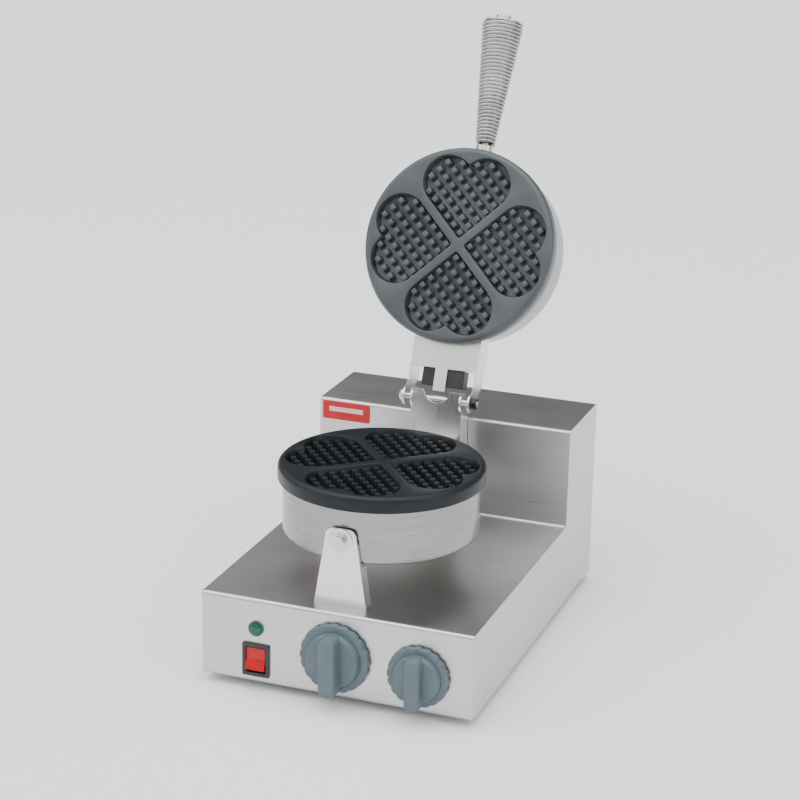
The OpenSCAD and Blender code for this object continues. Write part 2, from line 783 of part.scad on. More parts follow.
// Cover over the upper heater's leads, between the cheeks and clear of the post as the lid swings.
lead_box_l = 16.5;

module lead_box() {
    w = post_w - 2 * plate_t - 5;
    color("black") at_lid() difference() {
        translate([-w / 2, hinge_reach - 29, web_z + plate_t]) cube([w, lead_box_l, 14]);
        for (x = [-12, 12]) translate([x, hinge_reach - 30, web_z + plate_t + 7]) to_back() cylinder(d = 5, h = 10);
    }
}

// ---- lid ----

module at_upper() { at_lid() mirror([0, 0, 1]) children(); }

module upper_pan() {
    color("silver") at_upper() translate([0, 0, -rim_h]) difference() {
        pan_cup(upper_pan_h);
        pan_screw_holes(upper_pan_h);
        translate([0, 0, -handle_rise + rim_h]) translate([0, -pan_r + 4, 0]) to_front()
            cylinder(d = rod_d + screw_clear, h = 10);
        translate([0, pan_r - 4, -web_z - 9 + rim_h]) to_back() cylinder(d = 9, h = 10);
    }
}

module upper_plate() { color("slategray") at_upper() heart_plate(upper_boss_l); }
module upper_heater() { color("sienna") at_upper() heater_ring(); }
module upper_clamp() { color("darkgray") at_upper() clamp_disc(); }
module upper_insulation() { color("ivory") at_upper() insulation_disc(upper_pan_h); }
module upper_plate_screws() { color("gray") at_upper() boss_screws(upper_pan_h); }

// Places handle parts, drawn along +Z outwards from the upper pan's wall.
module at_handle() { at_lid() translate([0, -pan_r, handle_rise]) to_front() children(); }

socket_l = 13;
socket_d = 17;

module handle_socket() {
    color("gainsboro") difference() {
        at_handle() difference() {
            union() {
                translate([0, 0, -3]) cylinder(d = socket_d, h = socket_l + 3);
                translate([0, 0, -3]) cylinder(d = socket_d + 5, h = 6);
            }
            translate([0, 0, -5]) cylinder(d = rod_d, h = socket_l + 10);
        }
        at_lid() cylinder(r = pan_r, h = 80, $fn = 96);
    }
}

// Wire grip, a cone of close turns that starts at the socket.
turn_pitch = 0.94 * wire_d;
turn_count = floor((grip_l - wire_d) / turn_pitch);
grip_end_z = socket_l + turn_count * turn_pitch + wire_d;
nut_bore_l = 5;

module handle_rod() {
    inside = 9;
    color("darkgray") at_handle() translate([0, 0, -inside])
        cylinder(d = rod_d, h = inside + grip_end_z + nut_bore_l - 0.4);
}

module handle_coil() {
    color("darkgray") at_handle() translate([0, 0, socket_l + wire_d / 2]) rotate_extrude($fn = 64)
        for (i = [0:turn_count])
            translate([(grip_d0 + (grip_d1 - grip_d0) * i / turn_count - wire_d) / 2, i * turn_pitch])
                circle(d = wire_d, $fn = 24);
}

module handle_nut() {
    color("gainsboro") at_handle() translate([0, 0, grip_end_z]) difference() {
        union() {
            cylinder(d = grip_d1 - wire_d, h = 1.6);
            cylinder(d = 15, h = 7);
        }
        translate([0, 0, -1]) cylinder(d = rod_d, h = nut_bore_l + 1);
    }
}

// ---- controls ----

// Places control parts, drawn along +Z out of the front panel's outer face.
module at_control(x, h) { translate([x, front_y, foot_h + h]) to_front() children(); }

body_side = 34;
body_deep = 24;
bush_out = 7;
knob_stand = 1;

module control_body(w) {
    difference() {
        union() {
            translate([-w / 2, -w / 2, -sheet_t - body_deep]) cube([w, w, body_deep]);
            translate([0, 0, -sheet_t]) cylinder(d = bush_d, h = sheet_t + bush_out);
        }
        translate([0, 0, -sheet_t - body_deep + 6]) cylinder(d = shaft_d + 2 * shaft_clear, h = 60);
    }
}

module control_shaft(knob_l) {
    translate([0, 0, -sheet_t - body_deep + 6.2]) cylinder(d = shaft_d, h = body_deep - 5.2 + knob_l - 3);
}

// Knob with a scalloped skirt, a round cap and a grip bar whose longer, pointing end is down.
module control_knob(d, knob_l) {
    skirt_h = 5;
    cap_r = 0.39 * d;
    cap_h = 6;
    bar_w = 0.25 * d;
    bar_up = cap_r;
    bar_down = 0.46 * d;
    bar_r = bar_w * 0.3;
    scallops = 20;
    translate([0, 0, knob_stand]) difference() {
        union() {
            cylinder(d = d, h = skirt_h - 1.2);
            translate([0, 0, skirt_h - 1.2]) cylinder(d1 = d, d2 = d - 3, h = 1.2);
            translate([0, 0, skirt_h]) cylinder(r1 = cap_r, r2 = cap_r - 1.5, h = cap_h);
            translate([0, (bar_up - bar_down) / 2, skirt_h - 1]) linear_extrude(knob_l - knob_stand - skirt_h + 1)
                rounded_rect(bar_w, bar_up + bar_down, bar_r);
        }
        for (i = [0:scallops - 1]) rotate(360 / scallops * (i + 0.5))
            translate([d / 2 + 1.6, 0, -1]) cylinder(r = 2.6, h = skirt_h + 2, $fn = 24);
        translate([0, 0, -1]) cylinder(d = bush_d + 9, h = bush_out + 0.8);
        translate([0, 0, -1]) cylinder(d = shaft_d, h = knob_l - 1.5);
        translate([-0.6, 1.5 - bar_down, knob_l - knob_stand - 0.6]) cube([1.2, 8, 2]);
    }
}

thermostat_l = 24;
timer_l = 21;

module thermostat_body() { color("beige") at_control(thermostat_x, thermostat_h) control_body(body_side); }
module thermostat_nut() { color("silver") at_control(thermostat_x, thermostat_h) hex_nut(bush_d, 2.4); }
module thermostat_shaft() { color("silver") at_control(thermostat_x, thermostat_h) control_shaft(thermostat_l); }
module thermostat_knob() {
    color("slategray") at_control(thermostat_x, thermostat_h) control_knob(thermostat_d, thermostat_l);
}
module timer_body() { color("beige") at_control(timer_x, timer_h) control_body(body_side + 4); }
module timer_nut() { color("silver") at_control(timer_x, timer_h) hex_nut(bush_d, 2.4); }
module timer_shaft() { color("silver") at_control(timer_x, timer_h) control_shaft(timer_l); }
module timer_knob() { color("slategray") at_control(timer_x, timer_h) control_knob(timer_d, timer_l); }

rim_out = 2;
switch_wall = 3.6;
rocker_w = switch_w - 2 * switch_wall - 0.8;
rocker_l = switch_l - 2 * switch_wall - 1.2;
rocker_r = 14;
rocker_mid = -5;

module switch_housing() {
    color("black") at_control(switch_x, switch_h) difference() {
        union() {
            linear_extrude(rim_out) rounded_rect(switch_w, switch_l, 1.5);
            translate([0, 0, -21]) linear_extrude(22)
                square([switch_w - 3 - 2 * panel_fit, switch_l - 3 - 2 * panel_fit], center = true);
        }
        translate([0, 0, -11]) linear_extrude(20)
            square([switch_w - 2 * switch_wall, switch_l - 2 * switch_wall], center = true);
    }
    color("silver") at_control(switch_x, switch_h) for (z = [-8, 0, 8])
        translate([-3, z - 0.4, -29]) cube([6, 0.8, 8.5]);
}

// Rocker: two pads that meet at a shallow angle, tilted with its upper end pressed in.
module switch_rocker() {
    h = rocker_l / 2;
    dip = h * tan(rocker_tilt);
    color("red") at_control(switch_x, switch_h) translate([0, 0, rocker_mid]) rotate([-rocker_tilt, 0, 0])
        translate([-rocker_w / 2, 0, 0]) rotate([90, 0, 90]) linear_extrude(rocker_w) difference() {
            union() {
                polygon([[-h + 1, -1], [h - 1, -1], [h - 1.2, 6.2 + dip], [0, 6.2], [-h + 1.2, 6.2 + dip]]);
                circle(r = 3, $fn = 32);
            }
        }
}

module pilot_lens() {
    color("green") at_control(switch_x, lamp_h) translate([0, 0, 1.6]) intersection() {
        translate([0, 0, -9]) sphere(r = 12);
        cylinder(d = lamp_d, h = 5);
    }
}

module pilot_body() {
    color("darkgreen") at_control(switch_x, lamp_h) {
        cylinder(d = lamp_d + 2, h = 1.6);
        translate([0, 0, -18]) cylinder(d = lamp_body_d, h = 18);
    }
}

housing_shell();
side_panel_left();
side_panel_right();
rear_cover();
rear_cover_screws();
bottom_plate();
bottom_screws();
rubber_feet();
foot_screws();
foot_nuts();
label_plate();
cable_gland();
gland_nut();
terminal_block();
front_bracket();
front_bracket_screws();
front_bolt();
front_washer();
front_spacer();
front_nut();
lower_pan();
lower_plate();
lower_heater();
lower_clamp();
lower_insulation();
lower_plate_screws();
thermostat_bulb();
hinge_post();
hinge_post_screws();
pan_strap();
pan_strap_screws();
hinge_pin();
hinge_pin_nut();
lid_bracket();
lead_box();
upper_pan();
upper_plate();
upper_heater();
upper_clamp();
upper_insulation();
upper_plate_screws();
handle_socket();
handle_rod();
handle_coil();
handle_nut();
thermostat_body();
thermostat_nut();
thermostat_shaft();
thermostat_knob();
timer_body();
timer_nut();
timer_shaft();
timer_knob();
switch_housing();
switch_rocker();
pilot_lens();
pilot_body();
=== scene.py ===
import json
import math

import bmesh
import bpy
from mathutils import Matrix, Vector


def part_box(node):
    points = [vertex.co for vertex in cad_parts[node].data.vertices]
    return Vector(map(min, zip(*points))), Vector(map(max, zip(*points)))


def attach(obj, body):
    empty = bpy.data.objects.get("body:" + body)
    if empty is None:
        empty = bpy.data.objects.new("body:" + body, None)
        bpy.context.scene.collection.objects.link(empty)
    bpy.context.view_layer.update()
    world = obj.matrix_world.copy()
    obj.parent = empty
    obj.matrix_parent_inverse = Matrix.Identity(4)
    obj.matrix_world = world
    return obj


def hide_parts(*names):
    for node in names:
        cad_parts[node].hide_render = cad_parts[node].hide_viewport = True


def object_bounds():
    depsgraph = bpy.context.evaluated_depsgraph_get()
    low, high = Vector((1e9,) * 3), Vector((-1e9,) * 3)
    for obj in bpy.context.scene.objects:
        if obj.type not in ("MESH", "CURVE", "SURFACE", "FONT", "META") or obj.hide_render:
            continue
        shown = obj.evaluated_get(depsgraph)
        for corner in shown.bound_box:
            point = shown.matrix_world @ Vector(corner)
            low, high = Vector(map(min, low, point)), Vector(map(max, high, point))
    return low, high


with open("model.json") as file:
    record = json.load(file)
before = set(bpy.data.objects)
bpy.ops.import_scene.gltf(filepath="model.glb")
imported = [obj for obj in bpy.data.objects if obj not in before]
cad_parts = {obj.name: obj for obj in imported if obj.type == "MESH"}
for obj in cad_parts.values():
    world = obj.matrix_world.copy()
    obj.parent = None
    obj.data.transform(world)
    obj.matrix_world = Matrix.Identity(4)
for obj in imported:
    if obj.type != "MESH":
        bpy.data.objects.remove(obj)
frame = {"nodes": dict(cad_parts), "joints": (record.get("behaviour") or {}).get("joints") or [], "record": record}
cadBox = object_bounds()
mm = 0.001
quarter = math.pi / 2
nodes = frame["nodes"]
joints = {j["name"]: j for j in frame["joints"]}
print("frame loaded:", len(nodes), "nodes")


def startMaterial(name):
    mat = bpy.data.materials.new(name)
    mat.use_nodes = True
    tree = mat.node_tree
    return mat, tree, tree.nodes["Principled BSDF"]


def addNode(tree, kind, **inputs):
    node = tree.nodes.new(kind)
    for key, value in inputs.items():
        node.inputs[key.replace("_", " ")].default_value = value
    return node


# object coordinates, turned first and then stretched, so that a grain can run along any direction
def patternSpace(tree, turn=(0, 0, 0), stretch=(1, 1, 1), shift=(0, 0, 0)):
    coords = tree.nodes.new("ShaderNodeTexCoord")
    turned = addNode(tree, "ShaderNodeMapping", Rotation=turn, Location=shift)
    stretched = addNode(tree, "ShaderNodeMapping", Scale=stretch)
    tree.links.new(coords.outputs["Object"], turned.inputs["Vector"])
    tree.links.new(turned.outputs["Vector"], stretched.inputs["Vector"])
    return stretched.outputs["Vector"]


def noise(tree, space, scale, detail=4, roughness=0.55):
    node = addNode(tree, "ShaderNodeTexNoise", Scale=scale, Detail=detail, Roughness=roughness)
    tree.links.new(space, node.inputs["Vector"])
    return node.outputs["Fac"]


def remap(tree, value, low, high, fromLow=0.3, fromHigh=0.7):
    node = tree.nodes.new("ShaderNodeMapRange")
    node.inputs["From Min"].default_value = fromLow
    node.inputs["From Max"].default_value = fromHigh
    node.inputs["To Min"].default_value = low
    node.inputs["To Max"].default_value = high
    tree.links.new(value, node.inputs["Value"])
    return node.outputs["Result"]


def blendColours(tree, factor, first, second):
    node = tree.nodes.new("ShaderNodeMix")
    node.data_type = "RGBA"
    node.inputs["A"].default_value = (*first, 1)
    node.inputs["B"].default_value = (*second, 1)
    tree.links.new(factor, node.inputs["Factor"])
    return node.outputs["Result"]


def addUp(tree, first, second):
    node = tree.nodes.new("ShaderNodeMath")
    node.operation = "ADD"
    tree.links.new(first, node.inputs[0])
    tree.links.new(second, node.inputs[1])
    return node.outputs["Value"]


def bumpFrom(tree, shader, height, strength, distance):
    node = addNode(tree, "ShaderNodeBump", Strength=strength, Distance=distance)
    tree.links.new(height, node.inputs["Height"])
    tree.links.new(node.outputs["Normal"], shader.inputs["Normal"])


# sheet or bar metal with a directional grain, faint handling marks and a slow change of tone
def grainedMetal(name, look):
    mat, tree, shader = startMaterial(name)
    grain = patternSpace(tree, look.get("turn", (0, 0, 0)), look["grain"])
    plain = patternSpace(tree)
    fine = noise(tree, grain, 1, detail=5, roughness=0.7)
    cloud = noise(tree, plain, look.get("cloudScale", 14), detail=3)
    streak = look.get("streak", 0.7)
    both = addUp(tree, remap(tree, fine, 0, streak), remap(tree, cloud, 0, 1 - streak))
    tint = blendColours(tree, both, look["dark"], look["light"])
    tree.links.new(tint, shader.inputs["Base Color"])
    tree.links.new(remap(tree, both, *look["rough"], 0, 1), shader.inputs["Roughness"])
    shader.inputs["Metallic"].default_value = 1
    bumpFrom(tree, shader, fine, look["bump"], look.get("depth", 0.00003))
    return mat


# moulded plastic: a fine spark-eroded texture, a faint mottling and a soft sheen
def mouldedPlastic(name, look):
    mat, tree, shader = startMaterial(name)
    plain = patternSpace(tree)
    fine = noise(tree, plain, look.get("fineScale", 2600), detail=2)
    cloud = noise(tree, plain, look.get("cloudScale", 60), detail=3)
    tint = blendColours(tree, remap(tree, cloud, 0, 1), look["dark"], look["light"])
    tree.links.new(tint, shader.inputs["Base Color"])
    tree.links.new(remap(tree, cloud, *look["rough"]), shader.inputs["Roughness"])
    shader.inputs["Specular IOR Level"].default_value = look.get("gloss", 0.5)
    if look.get("glow"):
        shader.inputs["Emission Color"].default_value = (*look["light"], 1)
        shader.inputs["Emission Strength"].default_value = look["glow"]
    bumpFrom(tree, shader, fine, look["bump"], look.get("depth", 0.00004))
    return mat


# sprayed non-stick coating on an iron casting: orange peel, pale flecks and worn, greyer patches
def coatedCasting(name, look):
    mat, tree, shader = startMaterial(name)
    plain = patternSpace(tree)
    peel = noise(tree, plain, look["peelScale"], detail=3)
    fleck = noise(tree, plain, look["fleckScale"], detail=1)
    cloud = noise(tree, plain, look["cloudScale"], detail=4)
    wear = blendColours(tree, remap(tree, cloud, 0, 1), look["dark"], look["light"])
    speckled = tree.nodes.new("ShaderNodeMix")
    speckled.data_type = "RGBA"
    speckled.inputs["B"].default_value = (*look["fleck"], 1)
    tree.links.new(wear, speckled.inputs["A"])
    tree.links.new(remap(tree, fleck, 0, 0.55, 0.66, 0.8), speckled.inputs["Factor"])
    tree.links.new(speckled.outputs["Result"], shader.inputs["Base Color"])
    tree.links.new(remap(tree, cloud, *look["rough"]), shader.inputs["Roughness"])
    shader.inputs["Specular IOR Level"].default_value = look["gloss"]
    shader.inputs["Metallic"].default_value = look["metal"]
    bumpFrom(tree, shader, peel, look["bump"], 0.0001)
    return mat


steelLook = {
    "dark": (0.52, 0.515, 0.505), "light": (0.66, 0.655, 0.645),
    "rough": (0.26, 0.40), "bump": 0.25, "depth": 0.00002, "streak": 0.75,
}
steelAcross = grainedMetal("brushedSteelAcross", {**steelLook, "grain": (9, 1400, 1400)})
steelAlong = grainedMetal("brushedSteelAlong", {**steelLook, "grain": (1400, 9, 1400)})
# painted shade: the pans use a much darker copy of the housing steel, standing in for the dark reflections round
# the pans
panSteelShadedLook = {
    **steelLook, "grain": (22, 22, 1500), "dark": (0.21, 0.208, 0.20), "light": (0.42, 0.415, 0.40),
    "rough": (0.18, 0.3), "cloudScale": 9}
steelRound = grainedMetal("brushedSteelRound", panSteelShadedLook)
steelUnder = grainedMetal("bottomPlateSteel", {
    **steelLook, "grain": (1400, 9, 1400), "rough": (0.4, 0.55), "dark": (0.4, 0.4, 0.4)})
# the brackets are paler than the housing steel; part of that paleness is a painted highlight for the bright hinge
# cheek
highlitBracketSteel = grainedMetal("highlitBracketSteel", {
    "dark": (0.76, 0.75, 0.73), "light": (0.88, 0.87, 0.85), "grain": (1100, 1100, 30),
    "rough": (0.24, 0.36), "bump": 0.2, "depth": 0.00002, "streak": 0.6})
brightSteel = grainedMetal("brightSteel", {
    "dark": (0.64, 0.62, 0.58), "light": (0.78, 0.77, 0.74), "grain": (500, 500, 500),
    "rough": (0.14, 0.3), "bump": 0.12, "streak": 0.5, "cloudScale": 90})
darkSteel = grainedMetal("blackenedSteel", {
    "dark": (0.035, 0.035, 0.037), "light": (0.09, 0.09, 0.092), "grain": (300, 300, 300),
    "rough": (0.32, 0.5), "bump": 0.2, "streak": 0.5, "cloudScale": 120})
wireSteel = grainedMetal("gripWire", {
    "dark": (0.30, 0.30, 0.305), "light": (0.56, 0.56, 0.565), "grain": (260, 260, 260),
    "rough": (0.22, 0.42), "bump": 0.25, "streak": 0.5, "cloudScale": 45})
heaterSheath = grainedMetal("heaterSheath", {
    "dark": (0.16, 0.13, 0.11), "light": (0.34, 0.30, 0.27), "grain": (140, 140, 140),
    "rough": (0.45, 0.65), "bump": 0.3, "streak": 0.4, "cloudScale": 40})
coatLook = {
    "dark": (0.034, 0.042, 0.048), "light": (0.052, 0.063, 0.070), "fleck": (0.13, 0.145, 0.155),
    "peelScale": 1500, "fleckScale": 1900, "cloudScale": 26, "rough": (0.30, 0.44),
    "gloss": 0.7, "metal": 0.0, "bump": 0.25,
}
castingCoat = coatedCasting("castingCoat", coatLook)
shadedLowerCoat = coatedCasting("shadedLowerCoat", {  # painted shade: a darker copy of the coat stands in for the lower plate lying in the open lid's shade
    **coatLook, "dark": (0.007, 0.009, 0.011), "light": (0.013, 0.016, 0.019), "fleck": (0.05, 0.057, 0.063),
    "gloss": 0.25})
knobPlastic = mouldedPlastic("knobPlastic", {
    "dark": (0.070, 0.102, 0.120), "light": (0.092, 0.130, 0.150), "rough": (0.34, 0.46),
    "bump": 0.15, "gloss": 0.5})
blackPlastic = mouldedPlastic("blackPlastic", {
    "dark": (0.012, 0.012, 0.013), "light": (0.022, 0.022, 0.024), "rough": (0.34, 0.5), "bump": 0.2})
redLens = mouldedPlastic("redLens", {
    "dark": (0.36, 0.004, 0.005), "light": (0.50, 0.010, 0.010), "rough": (0.16, 0.24),
    "bump": 0.04, "glow": 0.06, "gloss": 0.35})
greenLens = mouldedPlastic("greenLens", {
    "dark": (0.0, 0.055, 0.032), "light": (0.0, 0.10, 0.06), "rough": (0.12, 0.2),
    "bump": 0.04, "glow": 0.02})
lampPlastic = mouldedPlastic("lampPlastic", {
    "dark": (0.01, 0.10, 0.06), "light": (0.02, 0.15, 0.09), "rough": (0.3, 0.4), "bump": 0.1})
controlPlastic = mouldedPlastic("controlPlastic", {
    "dark": (0.62, 0.57, 0.44), "light": (0.70, 0.66, 0.53), "rough": (0.4, 0.55), "bump": 0.2})
labelRed = mouldedPlastic("labelRed", {
    "dark": (0.48, 0.010, 0.018), "light": (0.60, 0.022, 0.028), "rough": (0.34, 0.44), "bump": 0.05,
    "gloss": 0.3})
labelPale = mouldedPlastic("labelPale", {
    "dark": (0.78, 0.50, 0.48), "light": (0.86, 0.62, 0.60), "rough": (0.3, 0.4), "bump": 0.05})
footRubber = mouldedPlastic("footRubber", {
    "dark": (0.012, 0.012, 0.012), "light": (0.024, 0.024, 0.024), "rough": (0.62, 0.8), "bump": 0.35,
    "fineScale": 1400, "gloss": 0.3})
fibre = mouldedPlastic("pressedFibre", {
    "dark": (0.66, 0.61, 0.48), "light": (0.80, 0.76, 0.66), "rough": (0.85, 0.95), "bump": 0.6,
    "fineScale": 700, "depth": 0.0004, "gloss": 0.2})
print("materials made")

finishOfSlot = {
    "brushed_steel": steelAcross, "bracket_steel": highlitBracketSteel, "bright_steel": brightSteel,
    "dark_steel": darkSteel, "grip_wire": wireSteel, "coated_casting": castingCoat,
    "heater_sheath": heaterSheath, "insulation": fibre, "knob_plastic": knobPlastic,
    "black_plastic": blackPlastic, "red_lens": redLens, "green_lens": greenLens,
    "lamp_plastic": lampPlastic, "control_plastic": controlPlastic, "label_red": labelRed,
    "foot_rubber": footRubber,
}
slotOfNode = {p["node"]: p["material_slot"] for p in frame["record"]["subparts"]}
bodyOfNode = {n: b for b, names in frame["record"]["behaviour"]["bodies"].items() for n in names}
finishOfNode = {n: finishOfSlot[s] for n, s in slotOfNode.items()}
finishOfNode.update({
    "side_panel_left": steelAlong, "side_panel_right": steelAlong,
    # the lower plate's darker coat is painted shade
    "lower_pan": steelRound, "bottom_plate": steelUnder, "lower_plate": shadedLowerCoat,
})
for nodeName, node in nodes.items():
    node.data.materials.clear()
    node.data.materials.append(finishOfNode[nodeName])


def closeMesh(shape, merge=0.000002):
    bmesh.ops.remove_doubles(shape, verts=shape.verts, dist=merge)
    bmesh.ops.recalc_face_normals(shape, faces=shape.faces)


def finishPiece(name, shape, finishes, standsFor, place=None, smoothUpTo=35, edge=None):
    if place is not None:
        bmesh.ops.transform(shape, matrix=place, verts=shape.verts)
    mesh = bpy.data.meshes.new(name)
    shape.to_mesh(mesh)
    shape.free()
    for finish in finishes:
        mesh.materials.append(finish)
    mesh.shade_smooth()
    mesh.set_sharp_from_angle(angle=math.radians(smoothUpTo))
    piece = bpy.data.objects.new(name, mesh)
    bpy.context.scene.collection.objects.link(piece)
    if edge:
        soft = piece.modifiers.new("softEdges", "BEVEL")
        soft.width, soft.segments = edge
        soft.limit_method = "ANGLE"
        soft.angle_limit = math.radians(32)
        soft.harden_normals = True
    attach(piece, bodyOfNode[standsFor[0]])
    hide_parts(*standsFor)
    return piece


# a copy of a plain node with its flats joined and a small radius on every edge
def softenedNode(nodeName, radius, segments=2):
    shape = bmesh.new()
    shape.from_mesh(nodes[nodeName].data)
    bmesh.ops.remove_doubles(shape, verts=shape.verts, dist=0.000002)
    bmesh.ops.dissolve_limit(shape, angle_limit=math.radians(0.6), verts=shape.verts, edges=shape.edges)
    return finishPiece(nodeName + "_softened", shape, [finishOfNode[nodeName]], [nodeName],
                       edge=(radius, segments))


# a profile of (radius, height, rounding) corners spun round Z
def spunShape(corners, steps=96):
    shape = bmesh.new()
    verts = [shape.verts.new((r, 0, z)) for r, z, _ in corners]
    for first, second in zip(verts, verts[1:]):
        shape.edges.new((first, second))
    for vert, (_, _, rounding) in zip(verts, corners):
        if rounding > 0:
            bmesh.ops.bevel(shape, geom=[vert], offset=rounding, segments=5, profile=0.5, affect="VERTICES",
                            material=-1)
    bmesh.ops.spin(shape, geom=list(shape.verts) + list(shape.edges), cent=(0, 0, 0), axis=(0, 0, 1),
                   angle=2 * math.pi, steps=steps, use_merge=True)
    closeMesh(shape)
    return shape


low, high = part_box("lower_plate")
plateR = (high.x - low.x) / 2
plateCentre = Vector(((low.x + high.x) / 2, (low.y + high.y) / 2, high.z))
hingeAt = Vector(joints["lid_hinge"]["pos_m"])
openAngle = math.radians(joints["lid_hinge"]["range_deg"][1])
plateGap = 0.4 * mm
lowerPlace = Matrix.Translation(plateCentre)
lidPlace = (Matrix.Translation(hingeAt) @ Matrix.Rotation(-openAngle, 4, "X")
            @ Matrix.Translation((0, plateCentre.y - hingeAt.y, plateCentre.z - hingeAt.z + plateGap)))
upperPlace = lidPlace @ Matrix.Diagonal((1, 1, -1, 1))
# the lid pan takes the same darkened steel, which is painted shade
upperRound = grainedMetal("brushedSteelRoundLid", {**panSteelShadedLook, "turn": (openAngle, 0, 0)})


plateLook = {
    "rim": 14 * mm, "edge": 4.5 * mm, "flat": 0.3 * mm, "spigotR": 85.3 * mm, "spigot": 8 * mm,
    "side": 51 * mm, "tip": 4.5 * mm, "tipRound": 3.5 * mm, "cleftRound": 1.6 * mm,
    "lip": [(0.18, 0.04), (0.28, 0.16), (0.22, 0.34)], "wall": (1.3, 8.6),
    "cove": [(0.12, 0.42), (0.30, 0.30), (0.45, 0.14)],
    "pitch": 10.2 * mm, "pegTop": 5.0 * mm, "pegFoot": 6.6 * mm, "pegH": 8 * mm, "pegRound": 0.55 * mm,
    "bossR": 6 * mm, "bossRing": 36 * mm, "bossTop": -18 * mm,
    "lowerTurn": math.radians(-4.5),
}


def pegFits(u, v):
    side, peg = plateLook["side"], 5.4 * mm
    edge, reach = side - peg / 2 - 0.8 * mm, side / 2 - 0.62 * peg - 0.8 * mm
    return (u < edge and v < edge) or math.hypot(u - side, v - side / 2) < reach or math.hypot(
        u - side / 2, v - side) < reach


def heartFace(shape, turn):
    side = plateLook["side"]
    before = set(shape.verts)
    corner = shape.verts.new((side, 0, 0))
    lobe = bmesh.ops.spin(shape, geom=[corner], cent=(side, side / 2, 0), axis=(0, 0, 1),
                          angle=math.pi, steps=20)
    cleft = [g for g in lobe["geom_last"] if isinstance(g, bmesh.types.BMVert)][0]
    lobe = bmesh.ops.spin(shape, geom=[cleft], cent=(side / 2, side, 0), axis=(0, 0, 1),
                          angle=math.pi, steps=20)
    last = [g for g in lobe["geom_last"] if isinstance(g, bmesh.types.BMVert)][0]
    point = shape.verts.new((0, 0, 0))
    shape.edges.new((last, point))
    shape.edges.new((point, corner))
    bmesh.ops.bevel(shape, geom=[point], offset=plateLook["tipRound"], segments=5, profile=0.5,
                    affect="VERTICES", material=-1)
    bmesh.ops.bevel(shape, geom=[cleft], offset=plateLook["cleftRound"], segments=4, profile=0.5,
                    affect="VERTICES", material=-1)
    made = [v for v in shape.verts if v not in before]
    place = Matrix.Rotation(turn, 4, "Z") @ Matrix.Translation((plateLook["tip"], 0, 0)) @ Matrix.Rotation(
        -math.pi / 4, 4, "Z")
    bmesh.ops.transform(shape, matrix=place, verts=made)
    return made


def onePeg():
    look = plateLook
    peg = bmesh.new()
    bmesh.ops.create_cone(peg, cap_ends=True, segments=4, radius1=look["pegFoot"] / math.sqrt(2),
                          radius2=look["pegTop"] / math.sqrt(2), depth=look["pegH"])
    bmesh.ops.rotate(peg, verts=peg.verts, cent=(0, 0, 0), matrix=Matrix.Rotation(math.pi / 4, 3, "Z"))
    bmesh.ops.translate(peg, verts=peg.verts, vec=(0, 0, look["pegH"] / 2))
    upper = [e for e in peg.edges if max(v.co.z for v in e.verts) > look["pegH"] / 2]
    bmesh.ops.bevel(peg, geom=upper, offset=look["pegRound"], segments=2, profile=0.5,
                    affect="EDGES", material=-1)
    return peg


def castPlate(name, nodeName, place, bossLength, heartTurn=0):
    look = plateLook
    ringR = plateR - look["edge"] - look["flat"]  # the flat rim ends here, outside every heart
    shape = bmesh.new()
    hearts = [heartFace(shape, quarter * q + heartTurn) for q in range(4)]
    ring = shape.verts.new((ringR, 0, 0))
    bmesh.ops.spin(shape, geom=[ring], cent=(0, 0, 0), axis=(0, 0, 1), angle=2 * math.pi,
                   steps=144, use_merge=True)
    bmesh.ops.remove_doubles(shape, verts=shape.verts, dist=0.000002)
    rims = list(shape.edges)
    bmesh.ops.triangle_fill(shape, use_beauty=True, use_dissolve=False, edges=rims, normal=(0, 0, 1))
    faces = []
    for outline in hearts:
        outline = [v for v in outline if v.is_valid]
        edges = [e for e in {e for v in outline for e in v.link_edges} if all(v in outline for v in e.verts)
                 and len(e.link_faces) == 1]
        made = bmesh.ops.contextual_create(shape, geom=edges)
        faces += made["faces"]
    shape.normal_update()
    bmesh.ops.reverse_faces(shape, faces=[f for f in shape.faces if f.normal.z < 0])
    for inward, down in [*look["lip"], look["wall"], *look["cove"]]:
        bmesh.ops.inset_region(shape, faces=faces, use_boundary=True, use_even_offset=True,
                               thickness=inward * mm, depth=-down * mm)
    floor = -sum(down for _, down in [*look["lip"], look["wall"], *look["cove"]]) * mm
    skirt = spunShape([
        (ringR, 0, 0), (plateR, 0, look["edge"]), (plateR, -look["rim"], 0.5 * mm),
        (look["spigotR"], -look["rim"], 0), (look["spigotR"], -look["rim"] - look["spigot"], 0.8 * mm),
        (0, -look["rim"] - look["spigot"], 0)], steps=144)
    addTo(shape, skirt)
    peg = onePeg()
    count = math.ceil(1.5 * look["side"] / look["pitch"])
    for q in range(4):
        turn = (Matrix.Rotation(quarter * q + heartTurn, 4, "Z")
                @ Matrix.Translation((look["tip"], 0, 0)) @ Matrix.Rotation(-math.pi / 4, 4, "Z"))
        for i in range(count):
            for j in range(count):
                u, v = (i + 0.5) * look["pitch"], (j + 0.5) * look["pitch"]
                if pegFits(u, v):
                    addTo(shape, peg, turn @ Matrix.Translation((u, v, floor)), keep=True)
    peg.free()
    for b in range(3):
        boss = spunShape([(0, 0, 0), (look["bossR"], 0, 0), (look["bossR"], -bossLength, 0.6 * mm),
                          (0, -bossLength, 0)], steps=32)
        angle = math.radians(30 + 120 * b)
        ring = look["bossRing"]
        addTo(shape, boss, Matrix.Translation((ring * math.cos(angle), ring * math.sin(angle), look["bossTop"])))
    bmesh.ops.remove_doubles(shape, verts=shape.verts, dist=0.000002)
    bmesh.ops.recalc_face_normals(shape, faces=shape.faces)
    if place.determinant() < 0:
        bmesh.ops.reverse_faces(shape, faces=shape.faces)
    return finishPiece(name, shape, [finishOfNode[nodeName]], [nodeName], place, smoothUpTo=40)


